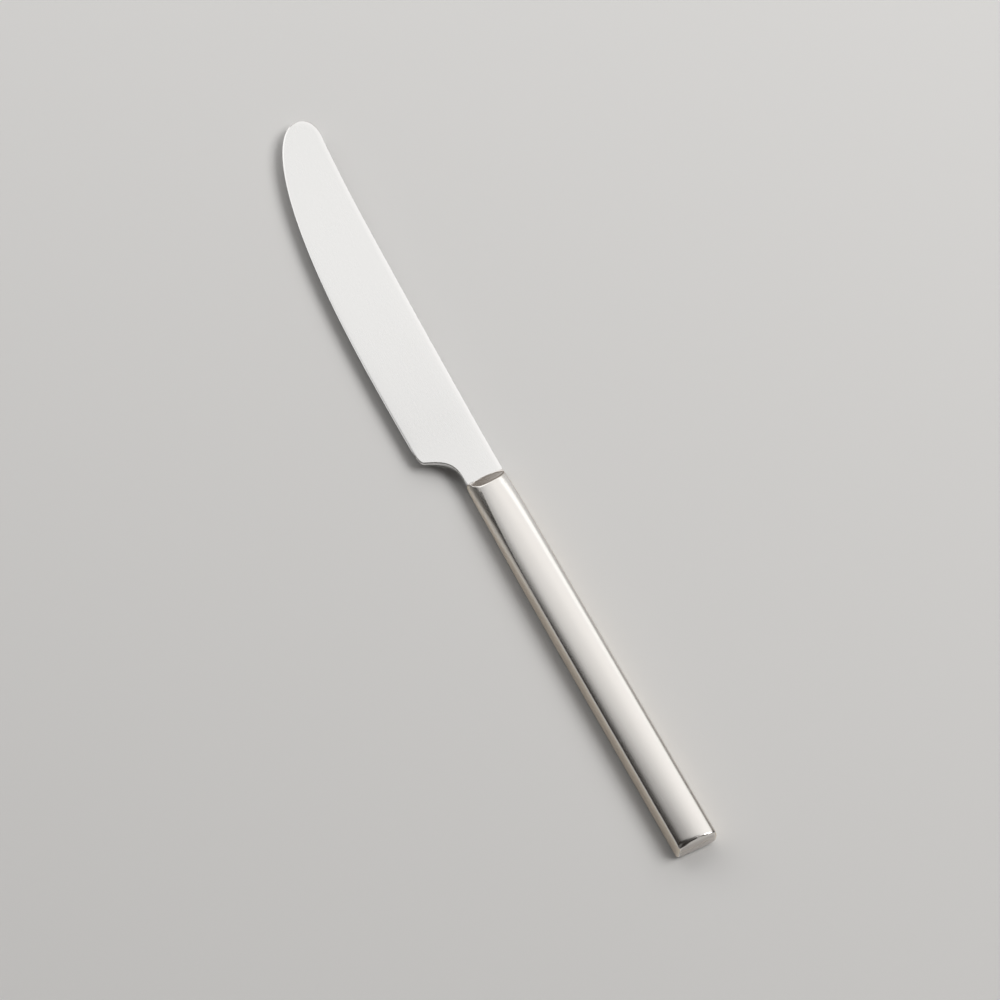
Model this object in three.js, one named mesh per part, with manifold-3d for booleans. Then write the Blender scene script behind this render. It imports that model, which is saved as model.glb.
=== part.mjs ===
import * as THREE from 'three';
import { mergeVertices } from 'three/addons/utils/BufferGeometryUtils.js';
import Module from 'manifold-3d';

// Table knife, lying flat on its handle. All sizes are in millimetres.
// +X runs from the butt to the tip, +Y to the cutting edge, +Z up from the surface it rests on.
// The blade is one forging with its neck and tang. The handle is hollow: two pressed half shells
// brazed along their rims, with the tang cemented inside and the neck brazed to the front of the shells.

// Handle
const handleLength = 117.4;
const handleWidth = 10.4; // at the seam
const handleThickness = 7;
const sideDraft = 0.2; // how far each side leans in between the seam and the rim of the crown
const buttRimHeight = 5.2; // upright part of the side wall at the butt
const rimFade = 6; // higher keeps the rim level further along the handle before it sinks to the neck
const landWidth = 3.2; // flat strip along the top and the underside
const innerRim = 0.3; // least half height of the upright wall inside the shells
const crownPowerAtButt = 3; // how squarely the crown rolls over to the rim
const crownPowerAtNeck = 2;
const buttRoll = 2.6; // length over which the crown rolls down to the butt
const buttCorner = 0.7; // rounding of the butt's upright corners
const shellWall = 0.9;
const facetRun = 3; // length of the sloping facet between the crown and the neck

// Joints of the assembly
const seamThickness = 0.2;
const neckJointThickness = 0.2;
const fitGap = 0.3;

// Blade outline, measured from the shoulder or from the axis of the handle
const bladeLength = 122.6;
const edgeDrop = 13.3; // straight part of the cutting edge, below the axis
const spineSlope = 0.0134; // rise of the spine for each millimetre where it leaves the neck
const spineSweep = 1.35; // extra rise of the spine at the tip
const tipRise = 4.4; // the foremost point, above the axis
const tipCornerLength = 5;
const tipCornerPower = 2.3;
const bellyLength = 100; // the curved part of the edge, back from the tip
const bellyLengthPower = 2.6;
const bellyDepthPower = 2.1;
const neckStraight = 2; // parallel stretch in front of the shoulder
const throatReach = 5.9; // pull of the curve from the neck into the heel
const heelSetback = 11.8; // from the shoulder to the heel corner
const heelLean = 2.6; // how far the heel's upright leans from its foot to its top
const heelDepth = 5.5; // height of that upright
const heelCorner = 5.8; // rounding of the heel corner along the edge
const heelCornerUp = 0.2; // share of the heel's upright that the rounding takes

// Blade thickness
const neckThickness = 3; // on the axis, at the shoulder
const neckTaper = 0.2; // spine side thicker and edge side thinner by half of this
const spineAtHeel = 2.5; // full thickness along the spine
const spineAtTip = 0.9;
const stockAtHeel = 0.9; // full thickness just behind the bevel
const stockAtTip = 0.5;
const bevelWidth = 0.7;
const cutShare = 0.25; // a bevel or chamfer takes at most this share of a narrow stretch
const cuttingThickness = 0.2;
const spineChamfer = 0.35;

// Tang
const tangLength = 62;
const tangWidth = 6;
const tangEndWidth = 4;
const tangThickness = 2;
const notchRadius = 0.9;
const notchPitch = 15;
const notchCount = 2; // on each side

// Facets
const crownSteps = 7;
const heelSteps = 12;
const bellySteps = 26;
const handleSteps = 14;
const rollSteps = 5;
const arcSteps = 8;
const stepEase = 2; // higher draws the sections closer together where the form turns
const tipEase = 3; // the same, towards the tip
const tipTrim = 0.006; // the last section stops this short of the tip, so that it keeps a width
const overrun = 2; // how far a cutting solid runs past what it cuts

const halfWidth = handleWidth / 2;
const halfThickness = handleThickness / 2;
const neckHalf = neckThickness / 2;
const shellFront = handleLength - neckJointThickness;
const tipX = handleLength + bladeLength;

const wasm = await Module();
wasm.setup();

function solidFrom(geometry) {
  const bare = geometry.clone();
  bare.deleteAttribute('normal');
  bare.deleteAttribute('uv');
  const merged = mergeVertices(bare);
  const vertProperties = new Float32Array(merged.attributes.position.array);
  const triVerts = new Uint32Array(merged.index.array);
  return new wasm.Manifold(new wasm.Mesh({ numProp: 3, vertProperties, triVerts }));
}

function geometryFrom(solid) {
  const mesh = solid.getMesh();
  const geometry = new THREE.BufferGeometry();
  geometry.setAttribute('position', new THREE.BufferAttribute(mesh.vertProperties, 3));
  geometry.setIndex(new THREE.BufferAttribute(mesh.triVerts, 1));
  return geometry;
}

// Closed skin over a row of rings. Each ring turns from +Y to +Z, and the rings follow +X.
function loft(rings) {
  const count = rings[0].length;
  const points = rings.flat();
  const faces = [];
  for (let ring = 0; ring + 1 < rings.length; ring += 1) {
    for (let side = 0; side < count; side += 1) {
      const next = (side + 1) % count;
      const a = ring * count + side;
      const b = ring * count + next;
      const c = a + count;
      const d = b + count;
      faces.push(a, b, c, b, d, c);
    }
  }
  const caps = [{ ring: rings[0], start: 0, front: false }];
  caps.push({ ring: rings.at(-1), start: (rings.length - 1) * count, front: true });
  for (const cap of caps) {
    const middle = cap.ring.reduce((sum, point) => sum.add(point), new THREE.Vector3());
    const centre = points.push(middle.divideScalar(count)) - 1;
    for (let side = 0; side < count; side += 1) {
      const here = cap.start + side;
      const next = cap.start + ((side + 1) % count);
      faces.push(centre, cap.front ? here : next, cap.front ? next : here);
    }
  }
  const geometry = new THREE.BufferGeometry().setFromPoints(points);
  geometry.setIndex(faces);
  return solidFrom(geometry);
}

function block(xMin, xMax, zMin, zMax) {
  const depth = 2 * (halfWidth + overrun);
  const geometry = new THREE.BoxGeometry(xMax - xMin, depth, zMax - zMin);
  geometry.translate((xMin + xMax) / 2, 0, (zMin + zMax) / 2);
  return solidFrom(geometry);
}

// Share of a row of sections that crowds towards its far end
function crowd(share, ease) {
  return 1 - (1 - share) ** ease;
}

// How far the section has turned from that of the butt, 0, to that of the neck, 1
function neckShare(x) {
  return (x / handleLength) ** rimFade;
}

// Half height of the upright side wall: full at the butt, down to the neck at the shoulder
function rimHalfAt(x) {
  return THREE.MathUtils.lerp(buttRimHeight / 2, neckHalf, neckShare(x));
}

// How far the butt's rounded corner takes a side in, at a distance from the butt
function cornerPull(fromButt, radius) {
  const left = Math.max(0, radius - fromButt);
  return radius - Math.sqrt(radius ** 2 - left ** 2);
}

// One ring round the handle at x, or inset from it by a wall
function handleRing(x, inset, butt) {
  const seam = halfWidth - inset - cornerPull(x - butt, Math.max(buttCorner - inset, 0));
  const rim = seam - sideDraft;
  const land = Math.min(landWidth / 2, rim / 2);
  const rimHalf = Math.max(rimHalfAt(x) - inset, innerRim);
  const power = THREE.MathUtils.lerp(crownPowerAtButt, crownPowerAtNeck, neckShare(x));
  const rollLeft = Math.max(0, 1 - (x - butt) / buttRoll);
  const roll = 1 - rollLeft ** power;
  const rise = (halfThickness - inset - rimHalf) * roll;
  const quarter = [];
  for (let step = 0; step <= crownSteps; step += 1) {
    const across = 1 - step / crownSteps;
    const y = land + (rim - land) * across;
    quarter.push([y, rimHalf + rise * (1 - across ** power)]);
  }
  const back = [...quarter].reverse();
  const ring = [[seam, 0]];
  ring.push(...quarter);
  ring.push(...back.map(([y, z]) => [-y, z]));
  ring.push([-seam, 0]);
  ring.push(...quarter.map(([y, z]) => [-y, -z]));
  ring.push(...back.map(([y, z]) => [y, -z]));
  return ring.map(([y, z]) => new THREE.Vector3(x, y, z));
}

function handleBody(start, end, inset) {
  const stations = [];
  for (let step = 0; step < rollSteps; step += 1) {
    stations.push(start + buttRoll * (step / rollSteps) ** stepEase);
  }
  const from = start + buttRoll;
  for (let step = 0; step <= handleSteps; step += 1) {
    stations.push(from + (end - from) * crowd(step / handleSteps, stepEase));
  }
  return loft(stations.map((x) => handleRing(x, inset, start)));
}

// Thickness of the blade at its spine and behind its edge
function spineThicknessAt(x) {
  const ahead = x - handleLength;
  const atShoulder = neckThickness + neckTaper / 2;
  if (ahead < heelSetback) {
    return THREE.MathUtils.lerp(atShoulder, spineAtHeel, ahead / heelSetback);
  }
  const along = (ahead - heelSetback) / (bladeLength - heelSetback);
  return THREE.MathUtils.lerp(spineAtHeel, spineAtTip, along);
}

function stockAt(x) {
  const ahead = x - handleLength;
  const atShoulder = neckThickness - neckTaper / 2;
  if (ahead < heelSetback) {
    return THREE.MathUtils.lerp(stockAtHeel, atShoulder, (1 - ahead / heelSetback) ** 2);
  }
  const along = (ahead - heelSetback) / (bladeLength - heelSetback);
  return THREE.MathUtils.lerp(stockAtHeel, stockAtTip, Math.sqrt(along));
}

// Distance of the spine above the axis, with the rounded corner at the tip
function spineAt(x) {
  const ahead = x - handleLength;
  const line = halfWidth + spineSlope * ahead + spineSweep * (ahead / bladeLength) ** 2;
  const intoCorner = (x - (tipX - tipCornerLength)) / tipCornerLength;
  if (intoCorner <= 0) {
    return line;
  }
  return tipRise + (line - tipRise) * (1 - intoCorner ** tipCornerPower) ** (1 / tipCornerPower);
}

// Outline of the edge side from the shoulder to the tip, as distances below the axis
function edgeOutline() {
  const corner = new THREE.Vector2(handleLength + heelSetback, edgeDrop);
  const heelTop = new THREE.Vector2(corner.x - heelLean, corner.y - heelDepth);
  const heelFoot = corner.clone().lerp(heelTop, heelCornerUp);
  const throat = new THREE.Vector2(handleLength + neckStraight, halfWidth);
  const heel = new THREE.CurvePath();
  heel.add(new THREE.LineCurve(new THREE.Vector2(handleLength, halfWidth), throat));
  const pull = new THREE.Vector2(throat.x + throatReach, halfWidth);
  heel.add(new THREE.CubicBezierCurve(throat, pull, heelTop, heelFoot));
  const edgeStart = new THREE.Vector2(corner.x + heelCorner, edgeDrop);
  heel.add(new THREE.QuadraticBezierCurve(heelFoot, corner, edgeStart));
  const outline = heel.getPoints(heelSteps);
  const bellyStart = tipX - bellyLength;
  outline.push(new THREE.Vector2(bellyStart, edgeDrop));
  for (let step = 1; step < bellySteps; step += 1) {
    const along = crowd(step / bellySteps, tipEase);
    const depth = (1 - along ** bellyLengthPower) ** (1 / bellyDepthPower);
    const x = Math.min(bellyStart + bellyLength * along, tipX - tipTrim);
    outline.push(new THREE.Vector2(x, (edgeDrop + tipRise) * depth - tipRise));
  }
  return outline;
}

// One ring round the blade: edge, bevel, flat face, spine, and back along the other face
function bladeRing(x, edge) {
  const spine = -spineAt(x);
  const width = edge - spine;
  const spineThickness = spineThicknessAt(x);
  const spineHalf = spineThickness / 2;
  const stockHalf = Math.min(stockAt(x) / 2, spineHalf);
  const heelX = handleLength + heelSetback;
  const sharp = THREE.MathUtils.smoothstep(x, heelX, heelX + heelCorner);
  const bevel = Math.min(bevelWidth, width * cutShare);
  const edgeHalf = THREE.MathUtils.lerp(stockHalf, cuttingThickness / 2, sharp);
  const chamfer = Math.min(spineChamfer, width * cutShare, spineThickness * cutShare);
  const upper = [
    [edge, edgeHalf],
    [edge - bevel, stockHalf],
    [spine + chamfer, spineHalf],
    [spine, spineHalf - chamfer],
  ];
  const lower = [...upper].reverse().map(([y, z]) => [y, -z]);
  return [...upper, ...lower].map(([y, z]) => new THREE.Vector3(x, y, z));
}

function tangSideHalf(x, grow) {
  const back = (handleLength - x) / tangLength;
  return THREE.MathUtils.lerp(tangWidth, tangEndWidth, back) / 2 + grow;
}

// Tang outline with its notches, grown by a clearance for the solids that close round it
function tangSolid(grow) {
  const root = handleLength + neckStraight;
  const end = handleLength - tangLength - grow;
  const bite = notchRadius - grow;
  const shape = new THREE.Shape();
  shape.moveTo(root, -tangSideHalf(handleLength, grow));
  shape.lineTo(handleLength, -tangSideHalf(handleLength, grow));
  for (let notch = 1; notch <= notchCount; notch += 1) {
    const x = handleLength - notchPitch * notch;
    shape.absarc(x, -tangSideHalf(x, grow), bite, 0, Math.PI, false);
  }
  const endHalf = tangSideHalf(end, grow);
  shape.absarc(end + endHalf, 0, endHalf, -Math.PI / 2, Math.PI / 2, true);
  for (let notch = notchCount; notch >= 1; notch -= 1) {
    const x = handleLength - notchPitch * notch;
    shape.absarc(x, tangSideHalf(x, grow), bite, Math.PI, 0, false);
  }
  shape.lineTo(handleLength, tangSideHalf(handleLength, grow));
  shape.lineTo(root, tangSideHalf(handleLength, grow));
  const depth = tangThickness + 2 * grow;
  const geometry = new THREE.ExtrudeGeometry(shape, { depth, bevelEnabled: false, curveSegments: arcSteps });
  geometry.translate(0, 0, -depth / 2);
  return solidFrom(geometry);
}

// Solid above the sloping facet, or below its mirror image on the underside
function facetCutter(sign) {
  const slope = (halfThickness - neckHalf) / facetRun;
  const far = halfThickness + 2 * overrun;
  const reach = halfWidth + overrun;
  const ringAt = (x) => {
    const lift = slope * (shellFront - x);
    const corners = [];
    for (const y of [reach, -reach]) {
      corners.push([y, sign * (neckHalf - (neckTaper / 2) * (y / handleWidth) + lift)]);
    }
    corners.push([-reach, sign * far]);
    corners.push([reach, sign * far]);
    return corners.map(([y, z]) => new THREE.Vector3(x, y, z));
  };
  const back = shellFront - (halfThickness + overrun - neckHalf) / slope;
  const rings = [ringAt(back), ringAt(shellFront + overrun)];
  if (sign > 0) {
    rings.forEach((ring) => ring.reverse());
  }
  return loft(rings);
}

const tang = tangSolid(0);
const tangRoom = tangSolid(fitGap);
const edgePoints = edgeOutline();
const blade = loft(edgePoints.map((point) => bladeRing(point.x, point.y))).add(tang);

const noseLength = facetRun + shellWall;
const hollow = handleBody(shellWall, shellFront - noseLength, shellWall);
const outside = handleBody(0, shellFront, 0).subtract(facetCutter(1)).subtract(facetCutter(-1));
const tube = outside.subtract(hollow).subtract(tangRoom);

const clearOfButt = -overrun;
const clearOfFront = shellFront + overrun;
const clearOfCrown = halfThickness + overrun;
const seamHalf = seamThickness / 2;
const upperShell = tube.intersect(block(clearOfButt, clearOfFront, seamHalf, clearOfCrown));
const lowerShell = tube.intersect(block(clearOfButt, clearOfFront, -clearOfCrown, -seamHalf));
const seamBraze = tube.intersect(block(clearOfButt, clearOfFront, -seamHalf, seamHalf));

const neckRings = [shellFront, handleLength].map((x) => {
  return bladeRing(handleLength, halfWidth).map((point) => point.setX(x));
});
const neckBraze = loft(neckRings).subtract(tangRoom);

const fillInset = shellWall + fitGap;
const tangCement = handleBody(fillInset, shellFront - noseLength - fitGap, fillInset).subtract(tangRoom);

const finishes = {
  blade: { color: '#e2e1de', roughness: 0.3, metalness: 1 },
  handle: { color: '#d8d5d0', roughness: 0.34, metalness: 1 },
  braze: { color: '#cdc6b8', roughness: 0.42, metalness: 1 },
  cement: { color: '#5f5a53', roughness: 0.95, metalness: 0 },
};

function piece(name, solid, finish) {
  const mesh = new THREE.Mesh(geometryFrom(solid), new THREE.MeshStandardMaterial(finish));
  mesh.name = name;
  return mesh;
}

const knife = new THREE.Group();
knife.add(piece('blade', blade, finishes.blade));
knife.add(piece('upper_shell', upperShell, finishes.handle));
knife.add(piece('lower_shell', lowerShell, finishes.handle));
knife.add(piece('seam_braze', seamBraze, finishes.braze));
knife.add(piece('neck_braze', neckBraze, finishes.braze));
knife.add(piece('tang_cement', tangCement, finishes.cement));

// The origin is under the middle of the knife, on the surface that it rests on
const extent = new THREE.Box3().setFromObject(knife);
const centre = extent.getCenter(new THREE.Vector3());
knife.position.set(-centre.x, -centre.y, -extent.min.z);
knife.updateMatrixWorld(true);

export default knife;
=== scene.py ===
import math

import bmesh
import bpy
import numpy as np
from mathutils import Matrix, Vector


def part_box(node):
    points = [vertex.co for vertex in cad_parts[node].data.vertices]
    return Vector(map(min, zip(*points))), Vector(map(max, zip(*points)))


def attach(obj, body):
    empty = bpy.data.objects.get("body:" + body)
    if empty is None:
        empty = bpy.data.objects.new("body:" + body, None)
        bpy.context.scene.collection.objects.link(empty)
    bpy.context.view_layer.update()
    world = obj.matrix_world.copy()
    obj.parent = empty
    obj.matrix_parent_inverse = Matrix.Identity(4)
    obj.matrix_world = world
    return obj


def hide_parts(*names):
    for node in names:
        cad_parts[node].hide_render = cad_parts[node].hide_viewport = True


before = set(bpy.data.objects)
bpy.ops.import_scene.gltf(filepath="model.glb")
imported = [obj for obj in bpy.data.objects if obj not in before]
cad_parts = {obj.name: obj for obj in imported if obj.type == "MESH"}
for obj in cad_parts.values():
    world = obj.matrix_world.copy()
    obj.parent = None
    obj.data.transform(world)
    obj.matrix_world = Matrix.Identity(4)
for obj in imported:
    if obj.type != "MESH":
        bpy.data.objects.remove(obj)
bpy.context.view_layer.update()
print("frame loaded:", ", ".join(sorted(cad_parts)))

# Local sizes are millimetres: x from the butt, y from the handle's axis to the cutting edge,
# z from the knife's middle plane
mm = 0.001
tiny = 1e-6  # keeps a division from failing
seamLow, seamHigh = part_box("seam_braze")
neckLow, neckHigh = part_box("neck_braze")
_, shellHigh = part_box("upper_shell")
bladeLow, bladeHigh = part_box("blade")
origin = Vector((seamLow.x, (seamLow.y + seamHigh.y) / 2, (seamLow.z + seamHigh.z) / 2))

handleLength = (neckHigh.x - origin.x) / mm
shellFront = (neckLow.x - origin.x) / mm
halfWidth = (seamHigh.y - seamLow.y) / 2 / mm
halfThickness = (shellHigh.z - origin.z) / mm
seamHalf = (seamHigh.z - seamLow.z) / 2 / mm
tipX = (bladeHigh.x - origin.x) / mm
tangX = (bladeLow.x - origin.x) / mm
bladeLength = tipX - handleLength


def lerp(a, b, share):
    return a + (b - a) * share


def ease(share):
    share = min(max(share, 0), 1)
    return share * share * (3 - 2 * share)


def bezier(a, b, c, share):
    return lerp(lerp(a, b, share), lerp(b, c, share), share)


def spread(count, power):
    # shares from 0 to 1 that crowd at both ends
    shares = []
    for step in range(count + 1):
        t = 2 * step / count - 1
        shares.append(0.5 + 0.5 * math.copysign(1 - (1 - abs(t)) ** power, t))
    return shares


def bothFaces(upper):
    # a closed ring from its upper half: the lower half is the mirror image
    return upper + [(x, y, -z) for x, y, z in reversed(upper)]


def joinRings(first, second, around):
    # faces between two rings of points, from the number of each ring's first point
    faces = []
    for step in range(around):
        after = (step + 1) % around
        faces.append((first + step, first + after, second + after, second + step))
    return faces


def addPiece(name, points, faces, marks=None, sharpAngle=38, mergeGap=0.0005, sliverGap=0.0002):
    mesh = bpy.data.meshes.new(name)
    mesh.from_pydata([origin + Vector(p) * mm for p in points], [], faces)
    for label, values in (marks or {}).items():
        attribute = mesh.attributes.new(label, "FLOAT", "POINT")
        attribute.data.foreach_set("value", np.array(values, np.float32))
    work = bmesh.new()
    work.from_mesh(mesh)
    bmesh.ops.remove_doubles(work, verts=work.verts, dist=mergeGap * mm)
    bmesh.ops.dissolve_degenerate(work, edges=work.edges, dist=sliverGap * mm)
    bmesh.ops.recalc_face_normals(work, faces=work.faces)
    work.to_mesh(mesh)
    work.free()
    mesh.polygons.foreach_set("use_smooth", [True] * len(mesh.polygons))
    mesh.set_sharp_from_angle(angle=math.radians(sharpAngle))
    piece = bpy.data.objects.new(name, mesh)
    bpy.context.scene.collection.objects.link(piece)
    weighted = piece.modifiers.new("flatFacesStayFlat", "WEIGHTED_NORMAL")
    weighted.keep_sharp = True
    return piece


def settle(piece, node, material):
    piece.data.materials.append(material)
    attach(piece, "root")
    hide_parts(node)
    print("piece:", piece.name, "for", node, len(piece.data.polygons), "faces")


# Tang: notched, and hidden in the handle
tangForm = {
    "width": 6,
    "endWidth": 4,
    "thickness": 2,
    "notchRadius": 0.9,
    "notchPitch": 15,  # from the shoulder to the first notch, and on to the next
    "notchCount": 2,
    "slotGap": 0.3,  # room round the tang where it passes through the shells and the braze
}


def tangSlot():
    gap = tangForm["slotGap"]
    return tangForm["width"] / 2 + gap, tangForm["thickness"] / 2 + gap


def tangRings(count, firstTurn=5, endStep=17, notchStep=18, leastHalf=0.1):
    # from the round end to the shoulder; the turns are degrees
    form = tangForm
    length = handleLength - tangX
    endHalf = form["endWidth"] / 2
    endTurns = [math.radians(turn) for turn in range(firstTurn, 91, endStep)]
    notchTurns = [math.radians(turn) for turn in range(-90, 91, notchStep)]
    notches = [handleLength - form["notchPitch"] * k for k in range(form["notchCount"], 0, -1)]
    stations = [tangX + endHalf * (1 - math.cos(turn)) for turn in endTurns]
    for middle in notches:
        stations += [middle + form["notchRadius"] * math.sin(turn) for turn in notchTurns]
    stations.append(handleLength)
    rings = []
    for x in stations:
        half = lerp(form["width"], form["endWidth"], (handleLength - x) / length) / 2
        if x < tangX + endHalf:
            half = min(half, math.sqrt(max(endHalf**2 - (tangX + endHalf - x) ** 2, leastHalf**2)))
        for middle in notches:
            half -= math.sqrt(max(form["notchRadius"] ** 2 - (x - middle) ** 2, 0))
        side = [lerp(half, -half, step / (count - 1)) for step in range(count)]
        rings.append(bothFaces([(x, y, form["thickness"] / 2) for y in side]))
    return rings


# Handle: the section turns from square at the butt to round at the neck
handleForm = {
    "sideDraft": 0.3,  # the upper half leans in by this much from seam to rim
    "lowerDraftAtEdge": -0.25,  # below the seam that lean goes on towards the table
    "lowerDraftAtSpine": 0.1,
    "draftPower": 1.2,
    "standOutAtEdge": 0.2,  # the sides stand out from the neck, and run in to it at the front
    "standOutAtSpine": 0.5,
    "standOutFade": 40,
    "buttRimHeight": 4.1,  # from the rim above the seam to the one below it
    "rimFadeAtEdge": 6,  # how late the rim drops to the neck, on the cutting edge's side
    "rimFadeAtSpine": 14,
    "landWidth": 3.2,  # flat strip along the middle, which the knife rests on
    "crownAtButt": 6,  # a high power is square, 2 is round
    "crownAtNeck": 2.4,
    "crownFade": 3,  # how late the crown turns from square to round
    "pillowAtEdge": 0.45,  # how much of the crown is one plain curve from side to side
    "pillowAtSpine": 0.65,
    "pillowAtNeckEdge": 0.7,
    "pillowAtNeckSpine": 1,
    "buttRollAtEdge": 1.5,  # the crown turns down to the end face over this length
    "buttRollAtSpine": 0.3,
    "buttRollPower": 2,
    "buttRollStart": 0.25,  # share of the crown that is left at the end face
    "buttCorner": 0.7,
    "wall": 0.9,
    "facetRun": 3.2,  # length of the facet along the middle
    "facetBow": 1.1,  # the ends of the facet stand back from its middle
    "facetToe": 0.35,  # the middle of the facet starts this far ahead of the joint
    "facetHollow": 0.5,  # the facet starts level with the neck and curves up over this length
    "innerRim": 0.3,  # least height of the hollow's rim from the middle plane
    "rimRound": 0.25,  # softened edge between side and crown
    "rimRoundAtNeck": 2.4,  # much softer near the neck, on the cutting edge's side
    "leastSide": 0.3,  # share of the rim's height that stays upright
    "rimWearSheen": 0.3,  # how much of the edge polish and painted highlight the rim gets
    "buttRound": 0.12,  # softened edge round the end face
    "facetRound": 0.35,  # softened crease between crown and facet
}
groundRows = 3  # rows of points on the end face, which is ground like the facet


def cornerPull(fromButt, radius):
    left = max(0, radius - fromButt)
    return radius - math.sqrt(radius**2 - left**2)


def seamHalfWidth(x, side):
    form = handleForm
    standOut = form["standOutAtEdge"] if side > 0 else form["standOutAtSpine"]
    return halfWidth + standOut * (1 - (x / handleLength) ** form["standOutFade"])


def handleSection(x, side, face, inset=0):
    form = handleForm
    along = x / handleLength
    where = "Edge" if side > 0 else "Spine"
    share = along ** form["rimFadeAt" + where]
    seam = seamHalfWidth(x, side) - inset - cornerPull(x - inset, max(form["buttCorner"] - inset, 0))
    draft = form["sideDraft"] if face > 0 else form["lowerDraftAt" + where]
    rim = seam - draft
    rimHalf = lerp(form["buttRimHeight"] / 2, bladeHalf(handleLength, side * halfWidth), share) - inset
    rimHalf = max(rimHalf, form["innerRim"])
    softAtNeck = form["rimRoundAtNeck"] if side > 0 else form["rimRound"]
    return {
        "side": side,
        "fromButt": x - inset,
        "seam": seam,
        "draft": draft,
        "rim": rim,
        "land": min(form["landWidth"] / 2, rim / 2),
        "rimHalf": rimHalf,
        "power": lerp(form["crownAtButt"], form["crownAtNeck"], along ** form["crownFade"]),
        "pillow": lerp(form["pillowAt" + where], form["pillowAtNeck" + where], share),
        "soft": lerp(form["rimRound"], softAtNeck, share),
        "rise": halfThickness - inset - rimHalf,
    }


def sideAt(section, z):
    return section["seam"] - section["draft"] * (z / section["rimHalf"]) ** handleForm["draftPower"]


def crownAt(section, y):
    form = handleForm
    across = max(0, (y - section["land"]) / (section["rim"] - section["land"]))
    fall = lerp(across ** section["power"], (y / section["rim"]) ** 2, section["pillow"])
    towardsEdge = 0.5 + 0.5 * section["side"] * y / section["rim"]
    rollLength = lerp(form["buttRollAtSpine"], form["buttRollAtEdge"], towardsEdge**2)
    left = max(0, 1 - section["fromButt"] / rollLength)
    roll = 1 - (1 - form["buttRollStart"]) * left ** form["buttRollPower"]
    return section["rimHalf"] + section["rise"] * roll * (1 - fall)


def columnsAcross(face, sideSteps=6, rimSteps=5, crownSteps=16, landSteps=4, crowding=1.5):
    # the lengthwise lines of one shell, from seam to seam
    half = [("side", step / sideSteps) for step in range(sideSteps)]
    half += [("rim", step / rimSteps) for step in range(rimSteps)]
    half += [("crown", (step / crownSteps) ** crowding) for step in range(crownSteps)]
    half += [("land", step / landSteps) for step in range(landSteps)]
    columns = [(kind, share, 1, face) for kind, share in half]
    columns.append(("land", 1, 1, face))
    return columns + [(kind, share, -1, face) for kind, share in reversed(half)]


def sectionPoint(x, column, inset=0):
    kind, share, sign, face = column
    section = handleSection(x, sign, face, inset)
    soft, rim, rimHalf, land = (section[key] for key in ("soft", "rim", "rimHalf", "land"))
    sideTop = max(rimHalf - soft, handleForm["leastSide"] * rimHalf)
    crownFoot = rim - soft
    if kind == "side":
        z = lerp(seamHalf, sideTop, share)
        y = sideAt(section, z)
    elif kind == "rim":
        y = bezier(sideAt(section, sideTop), rim, crownFoot, share)
        z = bezier(sideTop, rimHalf, crownAt(section, crownFoot), share)
    elif kind == "crown":
        y = lerp(crownFoot, land, share)
        z = crownAt(section, y)
    else:
        y = lerp(land, 0, share)
        z = crownAt(section, y)
    return sign * y, z


def facetHeight(x, y):
    form = handleForm
    back = handleLength + form["facetToe"] - form["facetBow"] * (y / halfWidth) ** 2 - x
    neck = bladeHalf(max(x, handleLength), y)
    run = form["facetRun"] + form["facetToe"] - form["facetHollow"] / 2
    slope = (halfThickness - bladeHalf(handleLength, 0)) / run
    if back < form["facetHollow"]:
        return neck + slope * max(back, 0) ** 2 / (2 * form["facetHollow"])
    return neck + slope * (back - form["facetHollow"] / 2)


def creaseAt(column, halvings=40):
    # where this lengthwise line of the crown meets the sloping facet
    def above(x):
        y, z = sectionPoint(x, column)
        return z - facetHeight(x, y)

    if above(shellFront) <= 0:
        return shellFront
    low, high = shellFront - 2 * handleForm["facetRun"], shellFront
    for _ in range(halvings):
        middle = (low + high) / 2
        if above(middle) > 0:
            high = middle
        else:
            low = middle
    return (low + high) / 2


def inwardAt(endPoints, index, sign):
    # the direction on the end face that leads away from its rim
    before = np.array(endPoints[max(index - 1, 0)])
    after = np.array(endPoints[min(index + 1, len(endPoints) - 1)])
    run = after - before
    inward = np.array((-run[1], run[0])) / max(np.linalg.norm(run), tiny)
    if index in (0, len(endPoints) - 1):
        inward = np.array((-math.copysign(1, sign), 0))
    if np.dot(inward, -np.array(endPoints[index])) < 0:
        inward = -inward
    return inward


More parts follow.
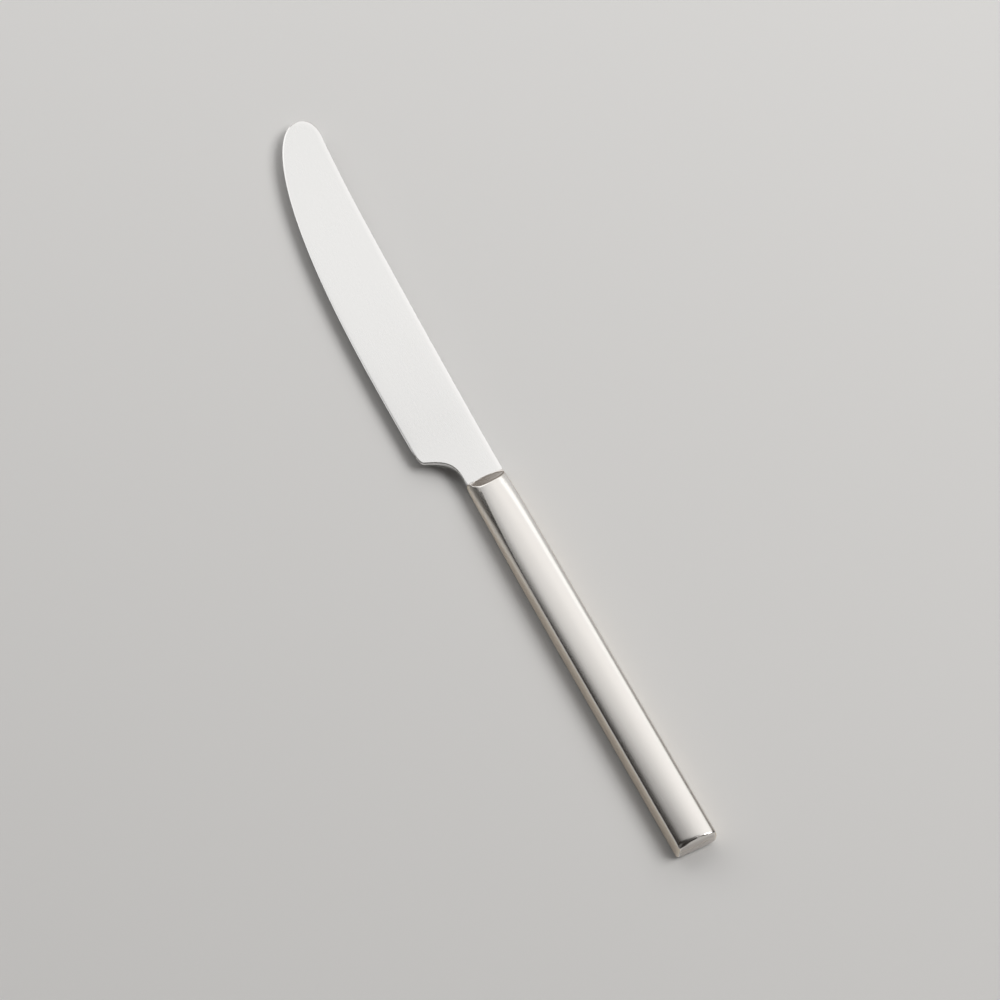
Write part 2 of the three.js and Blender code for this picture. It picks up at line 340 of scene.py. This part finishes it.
def shellRows(columns, buttSteps=5, alongSteps=64, crowding=2.2, creaseSteps=6, facetSteps=6):
    # one row of points for each lengthwise line, from the end face to the front
    form = handleForm
    rows, wearSheen, facet = [], [], []
    soft = form["buttRound"]
    endPoints = [sectionPoint(0, column) for column in columns]
    for index, column in enumerate(columns):
        kind, share, sign, _ = column
        crease = creaseAt(column)
        longestTurn = 0.45 * (shellFront - crease)  # the soft crease stays on its own half of the facet
        turn = min(form["facetRound"], longestTurn)

        def onCrown(x):
            return np.array((x, *sectionPoint(x, column)))

        def onFacet(x):
            y, z = sectionPoint(x, column)
            return np.array((x, y, min(z, facetHeight(x, y))))

        cornerPoint = onCrown(0)
        facePoint = cornerPoint + np.array((0, *(inwardAt(endPoints, index, sign) * soft)))
        row, rowWearSheen = [], []
        # softened edges round the end face and at the crease: worn polish, partly a painted highlight
        for step in range(buttSteps):
            row.append(bezier(facePoint, cornerPoint, onCrown(soft), step / buttSteps))
            rowWearSheen.append(ease(1 - abs(2 * step / buttSteps - 1)))
        last = crease - turn
        for along in spread(alongSteps, crowding):
            row.append(onCrown(lerp(soft, last, along)))
            rowWearSheen.append(0)
        for step in range(1, creaseSteps):
            row.append(bezier(onCrown(last), onCrown(crease), onFacet(crease + turn), step / creaseSteps))
            rowWearSheen.append(ease(1 - abs(2 * step / creaseSteps - 1)))
        # end face rows and the facet: ground finish; the end face's darker colour is painted shade
        rowGroundAndShade = [1] * groundRows + [0] * (len(row) - groundRows - 2) + [0.5, 1]
        for step in range(facetSteps + 1):
            row.append(onFacet(lerp(crease + turn, shellFront, step / facetSteps)))
            rowWearSheen.append(0)
            rowGroundAndShade.append(1)
        # the rim gets some of the worn polish and painted highlight
        if kind == "rim":
            rimWearSheen = form["rimWearSheen"] * ease(1 - abs(share - 0.5) * 2)
            rowWearSheen = [max(value, rimWearSheen) for value in rowWearSheen]
        rows.append(row)
        wearSheen.append(rowWearSheen)
        facet.append(rowGroundAndShade)
    return rows, wearSheen, facet


def hollowFront():
    return shellFront - handleForm["facetRun"] - handleForm["wall"]


def innerRows(columns, stations, noseStations=6):
    # the hollow behind the skin, then the slot that the tang passes through
    form = handleForm
    slotHalf, slotHeight = tangSlot()
    hollowStations = stations - noseStations
    rows = []
    for column in columns:
        kind, share, sign, _ = column
        row = []
        for step in range(hollowStations):
            x = lerp(form["wall"], hollowFront(), step / (hollowStations - 1))
            row.append(np.array((x, *sectionPoint(x, column, form["wall"]))))
        for step in range(noseStations):
            x = lerp(hollowFront(), shellFront, step / (noseStations - 1))
            if kind == "side":
                y, z = slotHalf, lerp(seamHalf, slotHeight, share)
            else:
                y, z = slotHalf * min(1, row[0][1] * sign / form["landWidth"]), slotHeight
            row.append(np.array((x, sign * y, z)))
        rows.append(row)
    return rows


# sides and rim: rougher, and a painted warm tint for the reflection of the shaded floor
def sideAndTintShareOf(column):
    kind, share, _, _ = column
    if kind == "side":
        return 1
    return 1 - share if kind == "rim" else 0


def makeShell(name, face):
    columns = columnsAcross(face)
    outer, wearSheen, facet = shellRows(columns)
    inner = innerRows(columns, len(outer[0]))
    lines, stations = len(columns), len(outer[0])
    points = [p for row in outer for p in row] + [p for row in inner for p in row]
    blank = [0] * (lines * stations)
    # the end face rows take no side roughness or painted tint
    sides = [[0] * groundRows + [sideAndTintShareOf(column)] * (stations - groundRows) for column in columns]
    marks = {
        "sideAndTintShare": [v for row in sides for v in row] + blank,
        "wearAndSheen": [v for row in wearSheen for v in row] + blank,
        "groundAndShadeShare": [v for row in facet for v in row] + blank,
    }

    def at(line, station, inside=0):
        return (inside * lines + line) * stations + station

    faces = []
    front = stations - 1
    for line in range(lines - 1):
        for station in range(front):
            for inside in (0, 1):
                a, b = at(line, station, inside), at(line + 1, station, inside)
                faces.append((a, b, b + 1, a + 1))
        faces.append((at(line, front), at(line + 1, front), at(line + 1, front, 1), at(line, front, 1)))
    for line in (0, lines - 1):  # rim that meets the braze
        for station in range(front):
            a, b = at(line, station), at(line, station, 1)
            faces.append((a, a + 1, b + 1, b))
    faces.append((at(0, 0), at(lines - 1, 0), at(lines - 1, 0, 1), at(0, 0, 1)))
    faces.append([at(line, 0) for line in range(lines)])  # end face
    faces.append([at(line, 0, 1) for line in range(lines)])
    points = [(x, y, face * z) for x, y, z in points]
    return addPiece(name, points, faces, marks)


def makeSeam(name, cornerSteps=12, sideSteps=12, noseSteps=8):
    # a flat ring between the rims, from one side of the neck round the butt to the other
    wall = handleForm["wall"]
    radius = handleForm["buttCorner"]
    slotHalf, _ = tangSlot()

    def leg(side):
        pairs = []
        for step in range(cornerSteps + 1):
            turn = math.radians(90 * step / cornerSteps)
            wide = seamHalfWidth(0, side)
            out = radius * (1 - math.cos(turn)), wide - radius * (1 - math.sin(turn))
            pairs.append((out, (wall, wide - wall)))
        for step in range(1, sideSteps + 1):
            x = lerp(radius, hollowFront(), step / sideSteps)
            wide = seamHalfWidth(x, side)
            pairs.append(((x, wide), (max(x, wall), wide - wall)))
        for step in range(noseSteps + 1):
            x = lerp(hollowFront(), shellFront, step / noseSteps)
            pairs.append(((x, seamHalfWidth(x, side)), (x, slotHalf)))
        return [((ox, side * oy), (ix, side * iy)) for (ox, oy), (ix, iy) in pairs]

    path = leg(-1)[::-1] + leg(1)
    points, faces = [], []
    for (ox, oy), (ix, iy) in path:
        points += [(ox, oy, seamHalf), (ox, oy, -seamHalf), (ix, iy, -seamHalf), (ix, iy, seamHalf)]
    around = len(points) // len(path)
    for step in range(len(path) - 1):
        faces += joinRings(step * around, (step + 1) * around, around)
    faces.append(tuple(range(around)))
    faces.append(tuple(len(points) - around + corner for corner in range(around)))
    # the seam is all side: rougher, with the painted warm tint
    return addPiece(name, points, faces, {"sideAndTintShare": [1] * len(points)})


# Blade: one outline, and a thickness that follows the distance from it
bladeForm = {
    "edgeDrop": 13.3,  # from the handle's axis to the cutting edge
    "spineSlope": 0.0134,  # the spine runs out by this much for each millimetre
    "spineSweep": 1.35,  # and curves out by this much at the tip
    "tipFlare": 1,  # the spine runs out a little more over the last stretch
    "tipFlareLength": 36,
    "tipRise": 4.4,  # the point of the tip lies on the spine's side of the axis
    "tipCornerLength": 7,  # round corner between spine and tip
    "tipCornerPower": 2,
    "bellyLength": 100,  # the cutting edge curves up to the tip over this length
    "bellyLengthPower": 2.6,
    "bellyDepthPower": 2.03,
    "neckStraight": 2,
    "throatReach": 5.9,  # how far the hollow in front of the neck is drawn out
    "heelSetback": 11.55,  # from the joint to the heel's corner
    "heelLean": 2.6,
    "heelDepth": 5.5,
    "heelCorner": 5.8,  # the corner is softened along the edge by this much
    "heelCornerUp": 0.2,  # and up the heel by this share
    "neckAtSpine": 3.4,  # thickness where the blade meets the handle
    "neckBlend": 20,  # length over which the neck thins to the blade
    "spineAtHeel": 2.5,
    "spineAtTip": 0.9,
    "stockAtHeel": 0.62,  # thickness at the cutting edge, before the bevel
    "stockAtTip": 0.45,
    "bevelWidth": 0.4,
    "bevelPower": 1.3,
    "cuttingThickness": 0.2,
    "spineRound": 0.25,
    "spineRollWidth": 5,  # the face eases over towards the spine
    "spineRollDrop": 0.16,
    "edgeRollWidth": 3,  # and a little towards the edge
    "edgeRollDrop": 0.07,
    "arrisRound": 0.3,
    "edgePolishAndSheenWidth": 0.4,  # width of the brighter line along the edge and the heel: polish, partly a painted highlight
    "spineSheenWidth": 1.6,  # and of the painted highlight along the spine
    "tipFade": 0.985,  # share of the belly after which the bevel runs out
}


def spineAt(x):
    form = bladeForm
    ahead = x - handleLength
    line = halfWidth + form["spineSlope"] * ahead + form["spineSweep"] * (ahead / bladeLength) ** 2
    line += form["tipFlare"] * max(0, 1 - (tipX - x) / form["tipFlareLength"]) ** 2
    into = (x - (tipX - form["tipCornerLength"])) / form["tipCornerLength"]
    if into <= 0:
        return line
    power = form["tipCornerPower"]
    return form["tipRise"] + (line - form["tipRise"]) * max(0, 1 - into**power) ** (1 / power)


def wedgeFoot(x):
    # where the wedge runs out: the cutting edge, carried on straight towards the handle
    form = bladeForm
    along = (x - tipX) / form["bellyLength"] + 1
    if along <= 0:
        return form["edgeDrop"]
    depth = max(0, 1 - min(along, 1) ** form["bellyLengthPower"]) ** (1 / form["bellyDepthPower"])
    return (form["edgeDrop"] + form["tipRise"]) * depth - form["tipRise"]


def bladeHalf(x, y):
    # half the thickness: a plain wedge from spine to edge that thins from the neck to the tip
    form = bladeForm
    ahead = x - handleLength
    fromHeel = bladeLength - form["heelSetback"]
    share = (ahead - form["heelSetback"]) / fromHeel
    spine = lerp(form["spineAtHeel"], form["spineAtTip"], share)
    stock = lerp(form["stockAtHeel"], form["stockAtTip"], share)
    atShoulder = lerp(form["spineAtHeel"], form["spineAtTip"], -form["heelSetback"] / fromHeel)
    swell = (form["neckAtSpine"] - atShoulder) * max(0, 1 - ahead / form["neckBlend"]) ** 2
    top = -spineAt(x)
    across = (y - top) / (wedgeFoot(x) - top)
    return (lerp(spine, stock, across) + swell) / 2


def edgeOutline(neckSteps=9, throatSteps=36, cornerSteps=24, straightSteps=6, bellySteps=130):
    # (x, drop below the axis) and the sharpness there, from the shoulder to the tip
    form = bladeForm
    neckCrowding, bellyCrowding = 1.6, 3
    bellyEnd = 0.97  # the last ring stays wide enough to close
    corner = np.array((handleLength + form["heelSetback"], form["edgeDrop"]))
    heelTop = corner - np.array((form["heelLean"], form["heelDepth"]))
    heelFoot = lerp(corner, heelTop, form["heelCornerUp"])
    throat = np.array((handleLength + form["neckStraight"], halfWidth))
    pull = throat + np.array((form["throatReach"], 0))
    edgeStart = corner + np.array((form["heelCorner"], 0))
    outline = []
    for step in range(neckSteps):
        outline.append((lerp(handleLength, throat[0], (step / neckSteps) ** neckCrowding), halfWidth))
    for step in range(throatSteps):
        share = step / throatSteps
        first = bezier(throat, pull, heelTop, share)
        outline.append(tuple(lerp(first, bezier(pull, heelTop, heelFoot, share), share)))
    for step in range(cornerSteps):
        outline.append(tuple(bezier(heelFoot, corner, edgeStart, step / cornerSteps)))
    bellyStart = tipX - form["bellyLength"]
    for step in range(straightSteps):
        outline.append((lerp(edgeStart[0], bellyStart, step / straightSteps), form["edgeDrop"]))
    for step in range(bellySteps):
        share = bellyEnd * step / (bellySteps - 1)
        x = bellyStart + form["bellyLength"] * (1 - (1 - share) ** bellyCrowding)
        outline.append((x, wedgeFoot(x)))
    sharp = []
    for x, _ in outline:
        intoTip = ((x - bellyStart) / form["bellyLength"] - form["tipFade"]) / (1 - form["tipFade"])
        sharp.append(ease((x - corner[0]) / form["heelCorner"]) * (1 - ease(intoTip)))
    return outline, sharp


def nearestOnLine(places, line, values):
    # distance of each place from a line of points, and the line's value there
    a, b = line[:-1], line[1:]
    run = b - a
    length = np.maximum((run**2).sum(1), tiny**2)
    best = np.full(len(places), np.inf)
    value = np.zeros(len(places))
    for k in range(len(a)):
        share = np.clip(((places - a[k]) @ run[k]) / length[k], 0, 1)
        gap = np.linalg.norm(places - a[k] - share[:, None] * run[k], axis=1)
        closer = gap < best
        best[closer] = gap[closer]
        value[closer] = (values[k] + (values[k + 1] - values[k]) * share)[closer]
    return best, value


def roundDrop(distance, radius):
    left = np.clip(radius - distance, 0, radius)
    return radius - np.sqrt(np.maximum(radius**2 - left**2, 0))


def rollDrop(distance, width, drop):
    return drop * np.clip(1 - distance / width, 0, 1) ** 2


def acrossShares(width, firstGap=0.05, growth=0.345, nearSteps=13, middleSteps=9, fullWidth=9):
    # distances from the edge, close together near both sides
    fit = min(1, width / fullWidth)
    near = [firstGap * (math.exp(growth * step) - 1) * fit for step in range(nearSteps)]
    middle = [lerp(near[-1], width - near[-1], step / middleSteps) for step in range(1, middleSteps)]
    return near + middle + [width - distance for distance in reversed(near)]


def makeBlade(name):
    form = bladeForm
    outline, sharp = edgeOutline()
    edgeLine = np.array(outline)
    spineLine = np.array([(x, -spineAt(x)) for x, _ in outline])
    places, base, stock = [], [], []
    for x, edge in outline:
        width = edge + spineAt(x)
        for distance in acrossShares(width):
            places.append((x, edge - distance))
            base.append(facetHeight(x, edge - distance))
            stock.append(bladeHalf(x, edge))
    places, base, stock = np.array(places), np.array(base), np.array(stock)
    edgeGap, keen = nearestOnLine(places, edgeLine, np.array(sharp))
    spineGap, _ = nearestOnLine(places, spineLine, np.zeros(len(outline)))

    bevelShare = np.clip(1 - edgeGap / form["bevelWidth"], 0, 1) ** form["bevelPower"]
    bevel = (stock - form["cuttingThickness"] / 2) * bevelShare
    roll = rollDrop(edgeGap, form["edgeRollWidth"], form["edgeRollDrop"])
    drop = keen * (bevel + roll) + (1 - keen) * roundDrop(edgeGap, form["arrisRound"])
    drop = drop + roundDrop(spineGap, form["spineRound"])
    drop = drop + rollDrop(spineGap, form["spineRollWidth"], form["spineRollDrop"])
    top = np.maximum(base - drop, form["cuttingThickness"] / 2)

    count = len(places) // len(outline)
    around = 2 * count
    rings = tangRings(count)
    wearSheen = [[0] * around for _ in rings]
    for index in range(len(outline)):
        part = slice(index * count, (index + 1) * count)
        rings.append(bothFaces([(x, y, z) for (x, y), z in zip(places[part], top[part])]))
        # lighter along the edge (polish and painted highlight) and along the spine (painted highlight)
        onEdge = np.clip(1 - edgeGap[part] / form["edgePolishAndSheenWidth"], 0, 1)
        onSpine = np.clip(1 - spineGap[part] / form["spineSheenWidth"], 0, 1)
        polishAndSheen = list(np.maximum(onEdge, onSpine))
        wearSheen.append(polishAndSheen + polishAndSheen[::-1])
    points = [point for ring in rings for point in ring]
    faces = []
    for ring in range(len(rings) - 1):
        faces += joinRings(ring * around, (ring + 1) * around, around)
    faces.append(tuple(range(around)))
    faces.append(tuple(len(points) - around + step for step in range(around)))
    marks = {"wearAndSheen": [value for ring in wearSheen for value in ring]}
    return addPiece(name, points, faces, marks)


def makeNeckBraze(name):
    # a thin ring round the tang, between the shoulder and the front of the shells
    form = bladeForm
    width = 2 * halfWidth
    fromEdge = np.array(acrossShares(width))
    fromSpine = width - fromEdge
    drop = roundDrop(fromEdge, form["arrisRound"]) + roundDrop(fromSpine, form["spineRound"])
    drop = drop + rollDrop(fromSpine, form["spineRollWidth"], form["spineRollDrop"])
    upper = []
    for distance, lost in zip(fromEdge, drop):
        y = halfWidth - distance
        upper.append((y, facetHeight(handleLength, y) - lost))
    outer = upper + [(y, -z) for y, z in reversed(upper)]
    slotHalf, slotHeight = tangSlot()
    hole = [(slotHalf * y / halfWidth, math.copysign(slotHeight, z)) for y, z in outer]
    rise = [facetHeight(shellFront, y) - facetHeight(handleLength, y) for y, _ in outer]
    back = [(y, z + math.copysign(step, z)) for (y, z), step in zip(outer, rise)]
    loops = (shellFront, back), (handleLength, outer), (handleLength, hole), (shellFront, hole)
    points = [(x, y, z) for x, loop in loops for y, z in loop]
    faces = []
    around = len(outer)
    for band in range(len(loops)):
        faces += joinRings(band * around, (band + 1) % len(loops) * around, around)
    return addPiece(name, points, faces)


# Finishes: satin steel for the blade and the handle, braze for the joints, cement inside
def newMaterial(name):
    material = bpy.data.materials.new(name)
    material.use_nodes = True
    tree = material.node_tree
    return material, tree, tree.nodes["Principled BSDF"]


def addNode(tree, kind, links=None, **values):
    node = tree.nodes.new(kind)
    for key, value in values.items():
        setattr(node, key, value)
    for socket, source in (links or {}).items():
        if hasattr(source, "is_linked"):
            tree.links.new(source, node.inputs[socket])
        else:
            node.inputs[socket].default_value = source
    return node


def addNoise(tree, place, stretch, scale, detail, roughness=0.6):
    mapped = addNode(tree, "ShaderNodeMapping", {"Vector": place, "Scale": stretch})
    links = {"Vector": mapped.outputs["Vector"], "Scale": scale, "Detail": detail, "Roughness": roughness}
    return addNode(tree, "ShaderNodeTexNoise", links).outputs["Fac"]


def addBump(tree, height, strength, depth):
    links = {"Height": height, "Strength": strength, "Distance": depth * mm}
    return addNode(tree, "ShaderNodeBump", links).outputs["Normal"]


def addMark(tree, label):
    return addNode(tree, "ShaderNodeAttribute", attribute_name=label).outputs["Fac"]


def mixValue(tree, share, a, b):
    return addNode(tree, "ShaderNodeMix", {0: share, 2: a, 3: b}).outputs[0]


def mixColour(tree, share, a, b):
    return addNode(tree, "ShaderNodeMix", {0: share, 6: a, 7: b}, data_type="RGBA").outputs[2]


def addTo(tree, value, amount, start):
    links = {0: value, 1: amount, 2: start}
    return addNode(tree, "ShaderNodeMath", links, operation="MULTIPLY_ADD").outputs[0]


# What the steels share: fine lines along the knife, lines across it where it is ground, faint haze
grainLook = {
    "alongStretch": (0.02, 1, 1),
    "alongScale": 9000,
    "groundStretch": (1, 0.03, 1),
    "groundScale": 5000,
    "lineDetail": 3,
    "lineDepth": 0.01,
    "groundContrast": 0.9,  # the grinding lines show as lighter and darker streaks
    "hazeScale": 70,
    "hazeDetail": 2,
}

bladeLook = {
    "colour": (0.80, 0.798, 0.79),
    "hazeColour": (0.78, 0.778, 0.77),
    # lighter colour along edge and spine: polish, partly a painted highlight
    "wearSheenColour": (0.86, 0.855, 0.845),
    "roughness": 0.27,
    "streak": 0.05,
    "haze": 0.04,
    "polishAndSheen": 0.06,
    "bump": 0.015,
}

handleLook = {
    "colour": (0.79, 0.766, 0.738),
    "hazeColour": (0.77, 0.743, 0.71),
    # lighter colour on worn edges: polish, partly a painted highlight on rims, crease and butt
    "wearSheenColour": (0.85, 0.83, 0.805),
    # painted warm tint on the sides, for the reflection of the shaded floor
    "paintedSideTint": (0.80, 0.725, 0.625),
    # darker ground finish; on the end face the darkness is painted shade
    "groundAndShadeColour": (0.68, 0.645, 0.615),
    "roughness": 0.24,
    "sideRough": 0.22,  # the sides are less polished
    "streak": 0.05,
    "haze": 0.05,
    "polishAndSheen": 0.05,
    "bump": 0.07,
}

brazeLook = {
    "colour": (0.79, 0.776, 0.752),
    "hazeColour": (0.77, 0.752, 0.725),
    # painted warm tint, as on the handle's sides
    "paintedSideTint": (0.79, 0.72, 0.625),
    "roughness": 0.28,
    "sideRough": 0.22,
    "streak": 0.04,
    "haze": 0.05,
    "bump": 0.05,
}


def satinSteel(name, look):
    # painted warm tint on the sides, ground facet with painted shade on the end face, and worn edges,
    # partly a painted highlight, only where the look has a colour for them
    material, tree, shader = newMaterial(name)
    grain = grainLook
    place = addNode(tree, "ShaderNodeTexCoord").outputs["Object"]
    haze = addNoise(tree, place, (1, 1, 1), grain["hazeScale"], grain["hazeDetail"])
    streak = addNoise(tree, place, grain["alongStretch"], grain["alongScale"], grain["lineDetail"])
    if "groundAndShadeColour" in look:
        facet = addMark(tree, "groundAndShadeShare")
        ground = addNoise(tree, place, grain["groundStretch"], grain["groundScale"], grain["lineDetail"])
        streak = mixValue(tree, facet, streak, ground)
    centredStreak = addTo(tree, streak, 1, -0.5)
    centredHaze = addTo(tree, haze, 1, -0.5)
    rough = addTo(tree, centredStreak, look["streak"], look["roughness"])
    rough = addTo(tree, centredHaze, look["haze"], rough)
    colour = mixColour(tree, haze, (*look["hazeColour"], 1), (*look["colour"], 1))
    # sides: rougher, and a painted warm tint for the reflection of the shaded floor
    if "paintedSideTint" in look:
        side = addMark(tree, "sideAndTintShare")
        rough = addTo(tree, side, look["sideRough"], rough)
        colour = mixColour(tree, side, colour, (*look["paintedSideTint"], 1))
    # ground streaks in a darker colour; on the end face that darkness is painted shade
    if "groundAndShadeColour" in look:
        share = addTo(tree, centredStreak, grain["groundContrast"], facet)
        share = addNode(tree, "ShaderNodeMath", {0: share, 1: facet}, operation="MULTIPLY").outputs[0]
        colour = mixColour(tree, share, colour, (*look["groundAndShadeColour"], 1))
    # lighter, smoother worn edges, partly a painted highlight along spine, rims and creases
    if "wearSheenColour" in look:
        wearSheen = addMark(tree, "wearAndSheen")
        rough = addTo(tree, wearSheen, -look["polishAndSheen"], rough)
        colour = mixColour(tree, wearSheen, colour, (*look["wearSheenColour"], 1))
    tree.links.new(colour, shader.inputs["Base Color"])
    tree.links.new(rough, shader.inputs["Roughness"])
    tree.links.new(addBump(tree, streak, look["bump"], grain["lineDepth"]), shader.inputs["Normal"])
    shader.inputs["Metallic"].default_value = 1
    return material


cementLook = {
    "colour": (0.12, 0.105, 0.09),
    "grainColour": (0.2, 0.18, 0.155),
    "grainScale": 1800,
    "grainDetail": 6,
    "grainDepth": 0.2,
    "roughness": 0.92,
    "bump": 0.5,
}


def cement(name, look):
    material, tree, shader = newMaterial(name)
    place = addNode(tree, "ShaderNodeTexCoord").outputs["Object"]
    grain = addNoise(tree, place, (1, 1, 1), look["grainScale"], look["grainDetail"])
    colour = mixColour(tree, grain, (*look["colour"], 1), (*look["grainColour"], 1))
    tree.links.new(colour, shader.inputs["Base Color"])
    tree.links.new(addBump(tree, grain, look["bump"], look["grainDepth"]), shader.inputs["Normal"])
    shader.inputs["Roughness"].default_value = look["roughness"]
    return material


bladeSteel = satinSteel("bladeSteel", bladeLook)
handleSteel = satinSteel("handleSteel", handleLook)
silverBraze = satinSteel("silverBraze", brazeLook)
tangCement = cement("tangCement", cementLook)
print("finishes ready")

settle(makeBlade("fineBlade"), "blade", bladeSteel)
settle(makeShell("fineUpperShell", 1), "upper_shell", handleSteel)
settle(makeShell("fineLowerShell", -1), "lower_shell", handleSteel)
settle(makeSeam("fineSeamBraze"), "seam_braze", silverBraze)
settle(makeNeckBraze("fineNeckBraze"), "neck_braze", silverBraze)
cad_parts["tang_cement"].data.materials.clear()
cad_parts["tang_cement"].data.materials.append(tangCement)

# Camera, and picture axes on the floor: right and up as the photograph shows them
cameraLook = {
    "target": (-0.008147, -0.004238, 0),
    "heading": 243.328,  # direction of the picture's right on the floor, degrees from +X
    "tilt": 30,  # from straight down
    "distance": 1.24119,
    "lens": 172.8,
    "sensor": 36,
    "clip": (0.05, 20),
}
heading = math.radians(cameraLook["heading"])
pictureRight = Vector((math.cos(heading), math.sin(heading), 0))
pictureUp = Vector((-math.sin(heading), math.cos(heading), 0))


def fromPicture(right, up, height):
    return pictureRight * right + pictureUp * up + Vector((0, 0, height))


def aim(thing, place, target):
    back = (place - target).normalized()
    across = pictureUp.cross(back).normalized()
    turned = Matrix((across, back.cross(across), back)).transposed().to_4x4()
    thing.matrix_world = Matrix.Translation(place) @ turned


def makeCamera():
    look = cameraLook
    data = bpy.data.cameras.new("camera")
    data.lens = look["lens"]
    data.sensor_width = look["sensor"]
    data.clip_start, data.clip_end = look["clip"]
    camera = bpy.data.objects.new("camera", data)
    bpy.context.scene.collection.objects.link(camera)
    tilt = math.radians(look["tilt"])
    target = Vector(look["target"])
    away = fromPicture(0, -math.sin(tilt), math.cos(tilt))
    aim(camera, target + away * look["distance"], target)
    bpy.context.scene.camera = camera


floorLook = {"size": 8, "colour": (0.78, 0.775, 0.765), "roughness": 0.95}


def makeFloor():
    half = floorLook["size"] / 2
    corners = [(-half, -half, 0), (half, -half, 0), (half, half, 0), (-half, half, 0)]
    mesh = bpy.data.meshes.new("floor")
    mesh.from_pydata(corners, [], [(0, 1, 2, 3)])
    floor = bpy.data.objects.new("floor", mesh)
    bpy.context.scene.collection.objects.link(floor)
    material, _, shader = newMaterial("paleFloor")
    shader.inputs["Base Color"].default_value = (*floorLook["colour"], 1)
    shader.inputs["Roughness"].default_value = floorLook["roughness"]
    mesh.materials.append(material)


# Soft panels: place and aim in picture right, picture up and height, in metres; radiance 1 shows as
# white. A panel without an aim faces straight down, and one without a colour is white.
lampLook = {
    "overhead": {"place": (-0.4, 0.5, 0.75), "size": (3.2, 0.2), "radiance": 1.05},
    "overheadRight": {
        "place": (0.35, 1.06, 0.75),
        "size": (1.7, 0.92),
        "radiance": 0.94,
        "colour": (0.985, 0.995, 1),
    },
    "overheadLeft": {"place": (-1.3, 1.06, 0.75), "size": (1.6, 0.92), "radiance": 1.3},
    "overheadRim": {"place": (-0.4, 0.31, 0.75), "size": (3.2, 0.18), "radiance": 0.88},
    "overheadSkirt": {"place": (-0.4, 0.15, 0.75), "size": (3.2, 0.14), "radiance": 0.27},
    "window": {
        "place": (1.1, 1.7, 0.57),
        "aim": (0, 0, 0.3),
        "size": (2.0, 0.42),
        "radiance": 0.6,
        "colour": (0.92, 0.96, 1),
    },
    "fill": {"place": (-1.2, -1.6, 1.2), "aim": (0, 0, 0), "size": (2.5, 1.5), "radiance": 0.14},
    "key": {
        "place": (1.2036, 0.0, 1.5973),
        "aim": (0, 0, 0),
        "size": (1.0, 1.2),
        "radiance": 5.6,
        "colour": (1, 0.99, 0.98),
    },
}
roomLook = {
    "shade": (0.02, 0.017, 0.015),
    "back": (0.24, 0.21, 0.18),  # a glow behind the knife, as the picture shows it
    "backSpread": (0.3, 1.0),
}


def makeLamps():
    for name, look in lampLook.items():
        right, up, _ = look["place"]
        data = bpy.data.lights.new(name, "AREA")
        data.shape = "RECTANGLE"
        data.size, data.size_y = look["size"]
        data.energy = look["radiance"] * math.pi * data.size * data.size_y
        data.color = look.get("colour", (1, 1, 1))
        lamp = bpy.data.objects.new(name, data)
        bpy.context.scene.collection.objects.link(lamp)
        aim(lamp, fromPicture(*look["place"]), fromPicture(*look.get("aim", (right, up, 0))))
        lamp.visible_camera = False


def makeRoom():
    world = bpy.data.worlds.new("room")
    world.use_nodes = True
    tree = world.node_tree
    place = addNode(tree, "ShaderNodeTexCoord").outputs["Generated"]
    links = {0: place, 1: tuple(pictureUp)}
    towardsBack = addNode(tree, "ShaderNodeVectorMath", links, operation="DOT_PRODUCT").outputs["Value"]
    low, high = roomLook["backSpread"]
    links = {"Value": towardsBack, "From Min": low, "From Max": high}
    share = addNode(tree, "ShaderNodeMapRange", links, interpolation_type="SMOOTHSTEP").outputs["Result"]
    colour = mixColour(tree, share, (*roomLook["shade"], 1), (*roomLook["back"], 1))
    tree.links.new(colour, tree.nodes["Background"].inputs["Color"])
    bpy.context.scene.world = world


makeFloor()
makeLamps()
makeRoom()
makeCamera()
bpy.context.scene.view_settings.view_transform = "Standard"
print("floor, light and camera ready")
